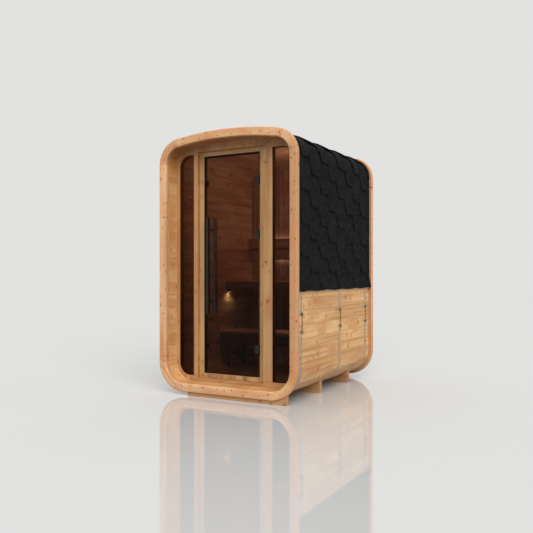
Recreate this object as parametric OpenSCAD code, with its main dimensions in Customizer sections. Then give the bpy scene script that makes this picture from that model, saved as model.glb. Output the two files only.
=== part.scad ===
/* [Frame rings] */
// Width across a ring
ring_width = 1350; // [1150:10:1700]
// Height of the underside of a ring above the ground
ring_clearance = 29; // [20:1:60]
// Radius of the arched top
arch_radius = 3060; // [2500:10:6000]
// Outer radius of the two upper corners
top_corner_radius = 220; // [180:1:260]
// Outer radius of the two lower corners
bottom_corner_radius = 250; // [200:1:300]
// Width of a ring's wood, seen from the front
ring_band = 73; // [60:1:90]
// Thickness of a ring, front to back
ring_depth = 45; // [35:1:60]
// Rounding of a ring's long edges
ring_edge = 12; // [4:1:16]

/* [Shell] */
// Overall depth, front face to back face
overall_depth = 1706; // [1550:1:2200]
// Thickness of the wall, floor and roof staves
stave_thickness = 41; // [35:1:45]
// Height of the lower edge of the shingles above the cabin floor
shingle_edge_rise = 804; // [700:1:1200]
// Thickness of the shingles on the walls
shingle_thickness = 12; // [6:1:16]
// Thickness of the shingles over the rounded corners and the roof, where they lap steeply
roof_shingle_thickness = 20; // [8:1:20]

/* [Front wall] */
// Depth of the open porch in front of the front wall
porch_depth = 158; // [120:1:200]
// Thickness of the front wall
front_wall_thickness = 60; // [50:1:80]
// Width of the rim beside the side windows
rim_width = 35; // [25:1:50]
// Height of the sill board under the side windows
sill_board = 48; // [40:1:80]
// Height of the head over the side windows, in the middle
head_board = 88; // [80:1:160]
// Radius of the outer corners of the window panes
pane_corner_radius = 105; // [60:1:130]
// Width of the post left of the door
left_post_width = 41; // [35:1:90]
// Width of the post right of the door
right_post_width = 87; // [60:1:120]
// Thickness of the window panes
pane_thickness = 8; // [6:1:12]
// Depth of a window pane behind the face of the front wall
pane_setback = 6; // [4:1:30]

/* [Door frame] */
// Left edge of the door opening, measured from the middle
opening_left = -330; // [-340:1:-300]
// Width of the door opening
opening_width = 564; // [520:1:580]
// Clear height of the door opening
opening_height = 1890; // [1800:1:2050]
// Height of the threshold's top above the cabin floor
threshold_rise = 72; // [60:1:85]
// Height of the side windows' top above the top of the door opening
window_rise = 18; // [10:1:30]
// Width of the jambs, seen from the front
jamb_width = 46; // [40:1:50]
// Height of the threshold and of the door head
rail_height = 40; // [32:1:40]
// Depth of the door frame, front to back
frame_depth = 60; // [50:1:80]
// Setback of the door frame from the face of the front wall
frame_setback = 32; // [24:1:36]

/* [Door] */
// Thickness of the door glass
glass_thickness = 8; // [6:1:10]
// Gap round the latch side, top and bottom of the glass
glass_gap = 5; // [5:1:8]
// Gap at the hinge side of the glass
hinge_gap = 18; // [16:1:24]
// Setback of the glass from the face of the door frame
glass_setback = 2; // [1:1:4]
// Distance of the lower hinge from the bottom of the glass
lower_hinge_distance = 229; // [150:1:320]
// Distance of the upper hinge from the top of the glass
upper_hinge_distance = 232; // [150:1:320]
// Distance of the middle hinge below the upper hinge
hinge_spacing = 457; // [300:1:700]
// Height of a hinge plate
hinge_height = 68; // [60:1:80]
// Width of a glass clamp
clamp_width = 30; // [24:1:60]
// Depth of the hinge leaf on the side of the jamb
leaf_depth = 30; // [20:1:40]
// Thickness of the hinge leaf
leaf_thickness = 3.5; // [2:0.5:4]
// Thickness of the glass clamps
hinge_plate = 6; // [4:1:8]
// Outer diameter of a hinge knuckle
knuckle_diameter = 14; // [12:1:15]
// Diameter of a hinge pin
hinge_pin_diameter = 6; // [5:1:8]
// Width of a door catch
catch_width = 34; // [16:1:40]
// Height of a door catch
catch_height = 44; // [20:1:50]

/* [Handle] */
// Height of the lower end of the handle bar above the threshold
handle_rise = 523; // [400:1:700]
// Length of the handle bar
handle_length = 828; // [400:1:900]
// Width of the handle bar
handle_width = 25; // [20:1:32]
// Depth of the handle bar
handle_bar_depth = 30; // [20:1:36]
// Clear space between the glass and the handle bar
handle_clearance = 39; // [34:1:44]
// Distance of the standoffs from the ends of the bar
standoff_inset = 105; // [60:1:160]
// Diameter of the standoffs
standoff_diameter = 18; // [12:1:22]
// Distance of the handle from the latch edge of the glass
handle_edge_distance = 70; // [40:1:90]

/* [Steel bands] */
// Distance of the front band from the front face
front_band_position = 132.5; // [110:0.5:200]
// Distance of the middle band from the front face
middle_band_position = 914; // [850:1:950]
// Distance of the rear band from the back face
rear_band_position = 158; // [100:1:200]
// Width of the bands
band_width = 30; // [20:1:40]
// Thickness of the bands
band_thickness = 1.5; // [1:0.5:3]
// Height of the lower end of the tensioners above the cabin floor
tensioner_rise = 478; // [350:1:560]
// Length of the tensioners
tensioner_length = 140; // [100:1:180]
// Diameter of the tensioner rod
tensioner_rod = 8; // [6:1:9]
// Height of the lugs at the band ends
lug_height = 18; // [10:1:24]
// Depth of the lugs at the band ends
lug_depth = 20; // [18:1:24]

/* [Support beams] */
// Length of a support beam
beam_length = 947; // [900:1:1000]
// Distance of a support beam's right end from the right side of a ring
beam_end_distance = 108.5; // [90:0.5:160]
// Thickness of a support beam
beam_thickness = 50; // [40:1:70]
// Distance of the front beam from the front face
beam_start = 15; // [8:1:30]
// Distance between the beams
beam_pitch = 638.5; // [500:0.5:700]

/* [Benches] */
// Thickness of the back wall
back_wall_thickness = 60; // [35:1:70]
// Setback of the back wall from the back face
back_wall_setback = 158; // [50:1:180]
// Height of the upper bench above the cabin floor
upper_bench_rise = 861; // [780:1:900]
// Depth of the upper bench
upper_bench_depth = 523; // [450:1:560]
// Height of the lower bench above the cabin floor
lower_bench_rise = 378; // [320:1:430]
// Distance of the lower bench from the front face
lower_bench_position = 852; // [700:1:880]
// Depth of the lower bench
lower_bench_depth = 370; // [300:1:450]
// Thickness of the bench slats
slat_thickness = 28; // [22:1:34]
// Gap between the bench slats
slat_gap = 12; // [8:1:20]
// Height of the bench fascia
fascia_height = 77; // [60:1:100]
// Thickness of the bench legs, aprons and cleats
batten = 45; // [35:1:55]
// Width of the bench legs and aprons
leg_width = 90; // [60:1:110]

/* [Backrest] */
// Height of the backrest's lower edge above the upper bench
backrest_rise = 217; // [150:1:280]
// Height of each backrest board
backrest_board = 104; // [70:1:120]
// Gap between the backrest boards
backrest_gap = 10; // [6:1:20]

/* [Lamp] */
// Diameter of the lamp
lamp_diameter = 40; // [30:1:60]
// Height of the lamp
lamp_height = 26; // [20:1:40]

/* [Hidden] */
$fn = 96;

wood = [0.80, 0.60, 0.40];
ring_wood = [0.84, 0.66, 0.49];
dark_wood = [0.66, 0.50, 0.34];
bronze_glass = [0.30, 0.18, 0.12, 0.6];
shingle_black = [0.12, 0.12, 0.13];
steel = [0.68, 0.66, 0.62];
black_metal = [0.08, 0.08, 0.08];
lamp_white = [0.95, 0.85, 0.70];

// Facets of a full turn on the bent ring pieces, in a corner and in the arched top
bend_facets = 960;
corner_steps = 12;
arch_steps = 24;
fine_steps = 48;
edge_steps = 5;

// How far a cut or a joined piece runs past the face it meets
overcut = 1;

// Places that follow from the sizes; the origin is on the ground below the middle
half_width = ring_width / 2;
front_y = -overall_depth / 2;
back_y = overall_depth / 2;
shell_front_y = front_y + ring_depth;
shell_back_y = back_y - ring_depth;
floor_z = ring_clearance + ring_band;
sill_height = floor_z + sill_board;
threshold_height = floor_z + threshold_rise;
opening_top = threshold_height + opening_height;
head_height = opening_top + window_rise;
ring_crown = head_height + head_board + ring_band;
shingle_edge_height = floor_z + shingle_edge_rise;
tensioner_bottom = floor_z + tensioner_rise;
arch_centre_z = ring_crown - arch_radius;
top_x = half_width - top_corner_radius;
top_z = arch_centre_z + sqrt(pow(arch_radius - top_corner_radius, 2) - pow(top_x, 2));
arch_angle = asin(top_x / (arch_radius - top_corner_radius));
bottom_x = half_width - bottom_corner_radius;
bottom_z = ring_clearance + bottom_corner_radius;

// The shell's inner face is flush with the inner face of the rings
inner_inset = ring_band;
outer_inset = ring_band - stave_thickness;
inside_half = half_width - inner_inset;

// Front wall
wall_y = front_y + porch_depth;
pane_half = inside_half - rim_width;
opening_right = opening_left + opening_width;
bay_left = opening_left - jamb_width;
bay_right = opening_right + jamb_width;
bay_bottom = threshold_height - rail_height;
bay_top = opening_top + rail_height;
corner_split = pane_half - pane_corner_radius;
pane_y = wall_y + pane_setback;

// Door, turning about the hinge pins in front of the frame's face
frame_y = wall_y + frame_setback;
glass_y = frame_y + glass_setback;
glass_back_y = glass_y + glass_thickness;
glass_left = opening_left + glass_gap;
glass_right = opening_right - hinge_gap;
glass_bottom = threshold_height + glass_gap;
glass_top = opening_top - glass_gap;
hinge_x = (glass_right + opening_right) / 2;
hinge_y = frame_y - hinge_plate;
lower_hinge_z = glass_bottom + lower_hinge_distance;
upper_hinge_z = glass_top - upper_hinge_distance;
hinge_heights = [lower_hinge_z, upper_hinge_z - hinge_spacing, upper_hinge_z];
knuckle_height = hinge_height / 3;
pin_clearance = 0.1;
seat_clearance = 0.3;
clamp_front_y = glass_y - hinge_plate;
handle_x = glass_left + handle_edge_distance;
handle_bottom = threshold_height + handle_rise;

// Benches and back wall
back_inside_y = back_y - back_wall_setback - back_wall_thickness;
upper_front_y = back_inside_y - upper_bench_depth;
lower_front_y = front_y + lower_bench_position;
upper_bench_height = floor_z + upper_bench_rise;
lower_bench_height = floor_z + lower_bench_rise;
backrest_bottom = upper_bench_height + backrest_rise;

// Points on an arc, from one angle to another
function arc(x, z, r, from, to, steps) =
    [for (k = [0:steps]) let (a = from + (to - from) * k / steps) [x + r * cos(a), z + r * sin(a)]];

// Closed outline of the section, moved inward by an inset
function outline(inset, steps = corner_steps) = concat(
    arc(bottom_x, bottom_z, bottom_corner_radius - inset, -90, 0, steps),
    arc(top_x, top_z, top_corner_radius - inset, 0, 90 - arch_angle, steps),
    [for (k = [1:arch_steps - 1])
        let (a = 90 - arch_angle + 2 * arch_angle * k / arch_steps)
        [(arch_radius - inset) * cos(a), arch_centre_z + (arch_radius - inset) * sin(a)]],
    arc(-top_x, top_z, top_corner_radius - inset, 90 + arch_angle, 180, steps),
    arc(-bottom_x, bottom_z, bottom_corner_radius - inset, 180, 270, steps)
);

// Points of a curved strip between two radii about one centre
function strip(x, z, inner, outer, from, to, steps) = concat(
    arc(x, z, outer, from, to, steps),
    arc(x, z, inner, to, from, steps)
);

// Corner points of a rectangle with rounded corners
function round_rectangle(x0, z0, x1, z1, r, steps) = concat(
    arc(x1 - r, z0 + r, r, -90, 0, steps),
    arc(x1 - r, z1 - r, r, 0, 90, steps),
    arc(x0 + r, z1 - r, r, 90, 180, steps),
    arc(x0 + r, z0 + r, r, 180, 270, steps)
);

// An upright outline given as x and z, filled from one depth to another
module slab(y0, y1) {
    translate([0, y1, 0])
        rotate([90, 0, 0])
            linear_extrude(height = y1 - y0)
                children();
}

// A plain block between two corners
module block(x0, y0, z0, x1, y1, z1) {
    translate([x0, y0, z0])
        cube([x1 - x0, y1 - y0, z1 - z0]);
}

// The same piece on the left and on the right
module both_sides() {
    children();
    mirror([1, 0, 0])
        children();
}

// Cross-section of a ring, its long edges rounded
module ring_section() {
    polygon(round_rectangle(0, 0, ring_band, ring_depth, ring_edge, edge_steps));
}

// A bent piece of a ring, about a centre at x and z, with its front face at y
module ring_bend(x, z, radius, from, to, y) {
    translate([x, 0, z])
        rotate([90, 0, 0])
            rotate([0, 0, from])
                rotate_extrude(angle = to - from, $fn = bend_facets)
                    translate([radius - ring_band, -y - ring_depth])
                        ring_section();
}

module ring_top(y) {
    color(ring_wood)
        ring_bend(0, arch_centre_z, arch_radius, 90 - arch_angle, 90 + arch_angle, y);
}

module ring_bottom(y) {
    color(ring_wood)
        translate([-bottom_x, y, ring_clearance])
            rotate([90, 0, 90])
                linear_extrude(height = 2 * bottom_x)
                    mirror([1, 0])
                        rotate([0, 0, 90])
                            ring_section();
}

module ring_sides(y) {
    color(ring_wood)
        both_sides()
            translate([inside_half, y, bottom_z])
                linear_extrude(height = top_z - bottom_z)
                    ring_section();
}

module ring_corners(y) {
    color(ring_wood)
        both_sides() {
            ring_bend(bottom_x, bottom_z, bottom_corner_radius, -90, 0, y);
            ring_bend(top_x, top_z, top_corner_radius, 0, 90 - arch_angle, y);
        }
}

module front_ring_top() { ring_top(front_y); }
module front_ring_bottom() { ring_bottom(front_y); }
module front_ring_sides() { ring_sides(front_y); }
module front_ring_corners() { ring_corners(front_y); }
module rear_ring_top() { ring_top(shell_back_y); }
module rear_ring_bottom() { ring_bottom(shell_back_y); }
module rear_ring_sides() { ring_sides(shell_back_y); }
module rear_ring_corners() { ring_corners(shell_back_y); }

module floor() {
    color(wood)
        block(-bottom_x, shell_front_y, ring_clearance + outer_inset, bottom_x, shell_back_y, floor_z);
}

module right_wall() {
    color(wood)
        block(inside_half, shell_front_y, bottom_z, half_width - outer_inset, shell_back_y, top_z);
}

module left_wall() {
    mirror([1, 0, 0])
        right_wall();
}

// A layer of the arched top between two insets
module arch_layer(outer, inner) {
    slab(shell_front_y, shell_back_y)
        polygon(strip(0, arch_centre_z, arch_radius - inner, arch_radius - outer,
            90 - arch_angle, 90 + arch_angle, arch_steps));
}

// A layer of the two upper corners between two insets
module upper_corner_layer(outer, inner) {
    both_sides()
        slab(shell_front_y, shell_back_y)
            polygon(strip(top_x, top_z, top_corner_radius - inner, top_corner_radius - outer,
                0, 90 - arch_angle, corner_steps));
}

module roof() {
    color(wood)
        arch_layer(outer_inset, inner_inset);
}

module upper_corner_staves() {
    color(wood)
        upper_corner_layer(outer_inset, inner_inset);
}

module lower_corner_staves() {
    color(wood)
        both_sides()
            slab(shell_front_y, shell_back_y)
                polygon(strip(bottom_x, bottom_z, bottom_corner_radius - inner_inset,
                    bottom_corner_radius - outer_inset, -90, 0, corner_steps));
}

module back_wall() {
    color(wood)
        slab(back_inside_y, back_inside_y + back_wall_thickness)
            polygon(outline(inner_inset));
}

// Everything the front wall covers, with the pane corners rounded and the door bay cut out
module front_wall_area() {
    difference() {
        polygon(outline(inner_inset));
        polygon(round_rectangle(-pane_half, sill_height, pane_half, head_height,
            pane_corner_radius, corner_steps));
        translate([bay_left, bay_bottom])
            square([bay_right - bay_left, bay_top - bay_bottom]);
    }
}

module front_head() {
    color(wood)
        slab(wall_y, wall_y + front_wall_thickness)
            intersection() {
                front_wall_area();
                translate([-corner_split, bottom_z])
                    square([2 * corner_split, ring_crown - bottom_z]);
            }
}

module front_sill() {
    color(wood)
        slab(wall_y, wall_y + front_wall_thickness)
            intersection() {
                front_wall_area();
                translate([-corner_split, 0])
                    square([2 * corner_split, bottom_z]);
            }
}

module front_rims() {
    color(wood)
        both_sides()
            slab(wall_y, wall_y + front_wall_thickness)
                intersection() {
                    front_wall_area();
                    translate([corner_split, 0])
                        square([half_width - corner_split, ring_crown]);
                }
}

module door_posts() {
    color(wood) {
        block(bay_left - left_post_width, wall_y, sill_height,
            bay_left, wall_y + front_wall_thickness, head_height);
        block(bay_right, wall_y, sill_height,
            bay_right + right_post_width, wall_y + front_wall_thickness, head_height);
    }
}

module side_windows() {
    color(bronze_glass)
        slab(pane_y, pane_y + pane_thickness)
            intersection() {
                polygon(round_rectangle(-pane_half, sill_height, pane_half, head_height,
                    pane_corner_radius, corner_steps));
                union() {
                    translate([-pane_half, sill_height])
                        square([pane_half + bay_left - left_post_width, head_height - sill_height]);
                    translate([bay_right + right_post_width, sill_height])
                        square([pane_half - bay_right - right_post_width, head_height - sill_height]);
                }
            }
}

module door_jambs() {
    color(dark_wood) {
        block(bay_left, frame_y, bay_bottom, opening_left, frame_y + frame_depth, bay_top);
        block(opening_right, frame_y, bay_bottom, bay_right, frame_y + frame_depth, bay_top);
    }
}

module door_head() {
    color(dark_wood)
        block(opening_left, frame_y, opening_top, opening_right, frame_y + frame_depth, bay_top);
}

module door_threshold() {
    color(dark_wood)
        block(opening_left, frame_y, bay_bottom, opening_right, frame_y + frame_depth, threshold_height);
}

// Band round the whole section at a distance from the front face
module band_ring(position) {
    slab(front_y + position - band_width / 2, front_y + position + band_width / 2)
        difference() {
            polygon(outline(outer_inset - band_thickness));
            polygon(outline(outer_inset));
            translate([-ring_width, tensioner_bottom])
                square([2 * ring_width, tensioner_length]);
        }
}

module steel_bands() {
    color(steel) {
        band_ring(front_band_position);
        band_ring(middle_band_position);
        band_ring(overall_depth - rear_band_position);
    }
}

module wall_shingles() {
    color(shingle_black)
        difference() {
            both_sides()
                block(half_width - outer_inset, shell_front_y, shingle_edge_height,
                    half_width - outer_inset + shingle_thickness, shell_back_y, top_z);
            steel_bands();
        }
}

module corner_shingles() {
    color(shingle_black)
        difference() {
            upper_corner_layer(outer_inset - roof_shingle_thickness, outer_inset);
            steel_bands();
        }
}

module roof_shingles() {
    color(shingle_black)
        difference() {
            arch_layer(outer_inset - roof_shingle_thickness, outer_inset);
            steel_bands();
        }
}

// Folded lugs on the two band ends, drawn together by a threaded rod with a nut below
module tensioner(position) {
    wall_x = half_width - outer_inset + band_thickness;
    rod_x = wall_x + lug_depth / 2;
    y = front_y + position;
    low = tensioner_bottom - lug_height / 2;
    high = tensioner_bottom + tensioner_length - lug_height / 2;
    for (z = [low, high])
        block(wall_x, y - band_width / 2, z, wall_x + lug_depth, y + band_width / 2, z + lug_height);
    translate([rod_x, y, low - tensioner_rod])
        cylinder(d = tensioner_rod, h = high + lug_height + tensioner_rod - low);
    translate([rod_x, y, low - tensioner_rod / 2])
        cylinder(d = 2 * tensioner_rod, h = tensioner_rod, $fn = 6);
}

module band_tensioners() {
    color(steel)
        both_sides() {
            tensioner(front_band_position);
            tensioner(middle_band_position);
            tensioner(overall_depth - rear_band_position);
        }
}

// Support beam with its top cut to the shell and, at the front, to the ring
module support_beam(position) {
    y = front_y + position;
    right = half_width - beam_end_distance;
    difference() {
        block(right - beam_length, y, 0, right, y + beam_thickness, bottom_z);
        slab(shell_front_y, shell_back_y)
            polygon(outline(outer_inset, fine_steps));
        slab(front_y - overcut, shell_front_y)
            polygon(outline(-seat_clearance, fine_steps));
    }
}

module support_beams() {
    color(wood)
        for (k = [0:2])
            support_beam(beam_start + k * beam_pitch);
}

// A row of slats across the cabin, filling a depth
module slat_row(y0, depth, top, half_length, count) {
    slat_width = (depth - (count - 1) * slat_gap) / count;
    for (k = [0:count - 1]) {
        y = y0 + k * (slat_width + slat_gap);
        block(-half_length, y, top - slat_thickness, half_length, y + slat_width, top);
    }
}

module upper_bench() {
    color(wood)
        slat_row(upper_front_y + slat_thickness, upper_bench_depth - slat_thickness,
            upper_bench_height, inside_half, 5);
}

module upper_bench_fascia() {
    color(wood)
        block(-inside_half, upper_front_y, upper_bench_height - fascia_height,
            inside_half, upper_front_y + slat_thickness, upper_bench_height);
}

module upper_bench_cleats() {
    color(wood)
        both_sides()
            block(inside_half - batten, upper_front_y + slat_thickness,
                upper_bench_height - slat_thickness - batten,
                inside_half, back_inside_y, upper_bench_height - slat_thickness);
}

module lower_bench() {
    color(wood)
        slat_row(lower_front_y, lower_bench_depth, lower_bench_height, inside_half, 4);
}

// Two trestles from wall to wall, their feet cut to the rounded corners of the cabin
module lower_bench_legs() {
    top = lower_bench_height - slat_thickness;
    front = lower_front_y + slat_gap;
    back = lower_front_y + lower_bench_depth - slat_gap;
    color(wood)
        for (y = [front, back - batten])
            slab(y, y + batten)
                difference() {
                    intersection() {
                        polygon(outline(inner_inset));
                        translate([-inside_half, 0])
                            square([2 * inside_half, top]);
                    }
                    translate([leg_width - inside_half, 0])
                        square([2 * (inside_half - leg_width), top - leg_width]);
                }
}

module backrest() {
    board_y = back_inside_y - batten;
    top = backrest_bottom + 2 * backrest_board + backrest_gap;
    color(wood) {
        for (z = [backrest_bottom, top - backrest_board])
            block(-inside_half, board_y - slat_thickness, z, inside_half, board_y, z + backrest_board);
        for (x = [-1, 0, 1] * (inside_half - leg_width))
            block(x - batten / 2, board_y, backrest_bottom, x + batten / 2, back_inside_y, top);
    }
}

// Small round lamp on the left wall, just below the fascia
module bench_lamp() {
    color(lamp_white)
        translate([lamp_diameter / 2 - inside_half, upper_front_y + lamp_diameter,
                upper_bench_height - fascia_height - lamp_height])
            cylinder(d = lamp_diameter, h = lamp_height);
}

// Fixed half of a hinge: leaf on the side of the jamb, two knuckles and the pin
module hinge_bracket(z) {
    low = z - hinge_height / 2;
    block(opening_right - leaf_thickness, glass_y, low,
        opening_right, glass_y + leaf_depth, low + hinge_height);
    for (base = [low, low + hinge_height - knuckle_height]) {
        translate([hinge_x, hinge_y, base])
            cylinder(d = knuckle_diameter, h = knuckle_height);
        block(hinge_x, hinge_y, base, opening_right, glass_y + leaf_thickness, base + knuckle_height);
    }
    translate([hinge_x, hinge_y, low])
        cylinder(d = hinge_pin_diameter, h = hinge_height);
}

module hinge_brackets() {
    color(black_metal)
        for (z = hinge_heights)
            hinge_bracket(z);
}

// Moving half of a hinge: plates on both faces of the glass and the knuckle between
module hinge_clamp(z) {
    low = z - hinge_height / 2;
    knuckle_low = z - knuckle_height / 2 + seat_clearance;
    knuckle_length = knuckle_height - 2 * seat_clearance;
    difference() {
        union() {
            block(glass_right - clamp_width, clamp_front_y, low,
                glass_right, glass_y, low + hinge_height);
            block(glass_right - hinge_plate, clamp_front_y, knuckle_low,
                hinge_x, clamp_front_y + hinge_plate / 2, knuckle_low + knuckle_length);
            translate([hinge_x, hinge_y, knuckle_low])
                cylinder(d = knuckle_diameter, h = knuckle_length);
        }
        translate([hinge_x, hinge_y, knuckle_low - overcut])
            cylinder(d = hinge_pin_diameter + 2 * pin_clearance, h = knuckle_length + 2 * overcut);
    }
    block(glass_right - clamp_width, glass_back_y, low,
        glass_right, glass_back_y + hinge_plate, low + hinge_height);
}

module hinge_clamps() {
    color(black_metal)
        for (z = hinge_heights)
            hinge_clamp(z);
}

module door_catches() {
    color(black_metal)
        for (z = [lower_hinge_z, upper_hinge_z])
            block(opening_left, glass_back_y + seat_clearance, z - catch_height / 2,
                opening_left + catch_width, frame_y + frame_depth / 2, z + catch_height / 2);
}

module door_glass() {
    color(bronze_glass)
        block(glass_left, glass_y, glass_bottom, glass_right, glass_back_y, glass_top);
}

// Handle standing out along +Y from a face at y = 0: a bar on two standoffs
module handle() {
    for (z = [handle_bottom + standoff_inset, handle_bottom + handle_length - standoff_inset])
        translate([handle_x, 0, z])
            rotate([-90, 0, 0])
                cylinder(d = standoff_diameter, h = handle_clearance + overcut);
    block(handle_x - handle_width / 2, handle_clearance, handle_bottom,
        handle_x + handle_width / 2, handle_clearance + handle_bar_depth, handle_bottom + handle_length);
}

module outside_handle() {
    color(black_metal)
        translate([0, glass_y, 0])
            mirror([0, 1, 0])
                handle();
}

module inside_handle() {
    color(black_metal)
        translate([0, glass_back_y, 0])
            handle();
}

front_ring_top();
front_ring_bottom();
front_ring_sides();
front_ring_corners();
rear_ring_top();
rear_ring_bottom();
rear_ring_sides();
rear_ring_corners();
floor();
left_wall();
right_wall();
roof();
lower_corner_staves();
upper_corner_staves();
back_wall();
front_head();
front_sill();
front_rims();
door_posts();
door_jambs();
door_head();
door_threshold();
side_windows();
wall_shingles();
corner_shingles();
roof_shingles();
steel_bands();
band_tensioners();
support_beams();
upper_bench();
upper_bench_fascia();
upper_bench_cleats();
lower_bench();
lower_bench_legs();
backrest();
bench_lamp();
hinge_brackets();
door_catches();
door_glass();
hinge_clamps();
outside_handle();
inside_handle();
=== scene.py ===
"""The looks of the cube sauna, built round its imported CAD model.

Everything is in metres, in the CAD's frame. A place on the shell is a distance t round its section, from
the middle of the floor up the right side to the crown and down the left one, and an inset from its outline.
"""
import math
import random

import bmesh
import bpy
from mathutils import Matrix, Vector


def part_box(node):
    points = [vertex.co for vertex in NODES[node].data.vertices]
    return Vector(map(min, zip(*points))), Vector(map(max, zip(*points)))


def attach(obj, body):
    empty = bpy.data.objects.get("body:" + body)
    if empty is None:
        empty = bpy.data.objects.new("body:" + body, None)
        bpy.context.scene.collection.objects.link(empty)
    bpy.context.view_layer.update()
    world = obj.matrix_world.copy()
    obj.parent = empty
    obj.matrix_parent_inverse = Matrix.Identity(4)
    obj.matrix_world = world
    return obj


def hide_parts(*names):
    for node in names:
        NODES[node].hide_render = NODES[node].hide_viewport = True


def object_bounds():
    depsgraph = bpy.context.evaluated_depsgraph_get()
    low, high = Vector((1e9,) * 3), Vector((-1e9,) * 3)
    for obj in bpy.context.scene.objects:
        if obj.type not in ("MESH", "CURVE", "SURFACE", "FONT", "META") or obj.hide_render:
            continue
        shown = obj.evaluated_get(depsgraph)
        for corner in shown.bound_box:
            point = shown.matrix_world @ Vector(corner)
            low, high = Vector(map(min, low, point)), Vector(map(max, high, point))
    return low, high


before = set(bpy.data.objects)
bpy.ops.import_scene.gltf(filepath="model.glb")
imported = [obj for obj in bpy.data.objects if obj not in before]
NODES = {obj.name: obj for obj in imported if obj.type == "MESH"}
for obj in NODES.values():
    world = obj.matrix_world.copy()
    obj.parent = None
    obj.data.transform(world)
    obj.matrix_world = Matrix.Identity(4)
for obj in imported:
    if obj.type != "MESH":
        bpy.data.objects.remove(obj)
CAD_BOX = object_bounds()
random.seed(7)

# Sizes that the boxes of the nodes give
HALF_WIDTH = CAD_BOX[1].x
CROWN = CAD_BOX[1].z
FRONT_Y = CAD_BOX[0].y
BACK_Y = CAD_BOX[1].y
SIDE_LOW, SIDE_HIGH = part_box("front_ring_sides")
FOOT_LOW, FOOT_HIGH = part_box("front_ring_bottom")
RING_DEPTH = FOOT_HIGH.y - FOOT_LOW.y
BAND = FOOT_HIGH.z - FOOT_LOW.z
CLEARANCE = FOOT_LOW.z
BOTTOM_X = FOOT_HIGH.x
BOTTOM_Z = SIDE_LOW.z
TOP_Z = SIDE_HIGH.z
SHELL_FRONT = FRONT_Y + RING_DEPTH
SHELL_BACK = BACK_Y - RING_DEPTH
OUTER = HALF_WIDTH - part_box("right_wall")[1].x
INNER = HALF_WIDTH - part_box("right_wall")[0].x
SHINGLE_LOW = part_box("wall_shingles")[0].z
MID_WALL = (OUTER + INNER) / 2
PANE_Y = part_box("side_windows")[0].y

# Radii of the section, as in the CAD source
TOP_RADIUS = 0.220
ARCH_RADIUS = 3.060
BOTTOM_RADIUS = HALF_WIDTH - BOTTOM_X
TOP_X = HALF_WIDTH - TOP_RADIUS
ARCH_Z = CROWN - ARCH_RADIUS
ARCH_ANGLE = math.asin(TOP_X / (ARCH_RADIUS - TOP_RADIUS))
EDGE = 0.012

# Brightness of the background, the share of light that bounces off the floor, and the light from all round
BACKGROUND = 0.760
FLOOR_BOUNCE = 0.30
SKY = 0.44


# ---------------- the section's outline
def section_parts():
    """The right half of the outline, from the middle of the floor to the crown.

    Each part is its length at the staves' face and a function for the place and outward direction on it.
    """
    upper = math.pi / 2 - ARCH_ANGLE

    def line(start, step, out):
        return lambda s: (start[0] + step[0] * s, start[1] + step[1] * s, *out)

    def arc(x, z, radius, start):
        def place(s):
            angle = start + s / (radius - OUTER)
            c, n = math.cos(angle), math.sin(angle)
            return x + radius * c, z + radius * n, c, n
        return place

    return [
        (BOTTOM_X, line((0, CLEARANCE), (1, 0), (0, -1))),
        ((BOTTOM_RADIUS - OUTER) * math.pi / 2, arc(BOTTOM_X, BOTTOM_Z, BOTTOM_RADIUS, -math.pi / 2)),
        (TOP_Z - BOTTOM_Z, line((HALF_WIDTH, BOTTOM_Z), (0, 1), (1, 0))),
        ((TOP_RADIUS - OUTER) * upper, arc(TOP_X, TOP_Z, TOP_RADIUS, 0)),
        ((ARCH_RADIUS - OUTER) * ARCH_ANGLE, arc(0, ARCH_Z, ARCH_RADIUS, upper)),
    ]


PARTS = section_parts()
ENDS = [sum(part[0] for part in PARTS[:k]) for k in range(len(PARTS) + 1)]
FLOOR_END, CORNER_END, WALL_END, BEND_END, HALF = ENDS[1:]


def spot(t):
    """Point on the rings' outer outline and its outward direction, at a distance t round the section."""
    t = t % (2 * HALF)
    side = 1
    if t > HALF:
        t, side = 2 * HALF - t, -1
    k = max(k for k in range(len(PARTS)) if ENDS[k] <= t + 1e-9)
    x, z, nx, nz = PARTS[k][1](t - ENDS[k])
    return side * x, z, side * nx, nz


def at(t, inset, y):
    """The point at a distance round the section, an inset below the rings' outline and a depth."""
    x, z, nx, nz = spot(t)
    return Vector((x - nx * inset, y, z - nz * inset))


def wall_at(z):
    """Distance round the section of a height on the right wall."""
    return CORNER_END + z - BOTTOM_Z


def heights(x, inset):
    """Lowest and highest point of the section at x, an inset inside the outline."""
    x = min(abs(x), HALF_WIDTH - inset)
    low, high = CLEARANCE + inset, 0
    if x > BOTTOM_X:
        low = BOTTOM_Z - math.sqrt(max((BOTTOM_RADIUS - inset) ** 2 - (x - BOTTOM_X) ** 2, 0))
    if x > (ARCH_RADIUS - inset) * math.sin(ARCH_ANGLE):
        high = TOP_Z + math.sqrt(max((TOP_RADIUS - inset) ** 2 - (x - TOP_X) ** 2, 0))
    else:
        high = ARCH_Z + math.sqrt((ARCH_RADIUS - inset) ** 2 - x * x)
    return low, high


# ---------------- materials
def linear(red, green, blue):
    """A colour as it looks on a screen, given to Blender."""
    parts = [c / 255 for c in (red, green, blue)]
    return tuple(c / 12.92 if c < 0.04045 else ((c + 0.055) / 1.055) ** 2.4 for c in parts) + (1.0,)


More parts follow.
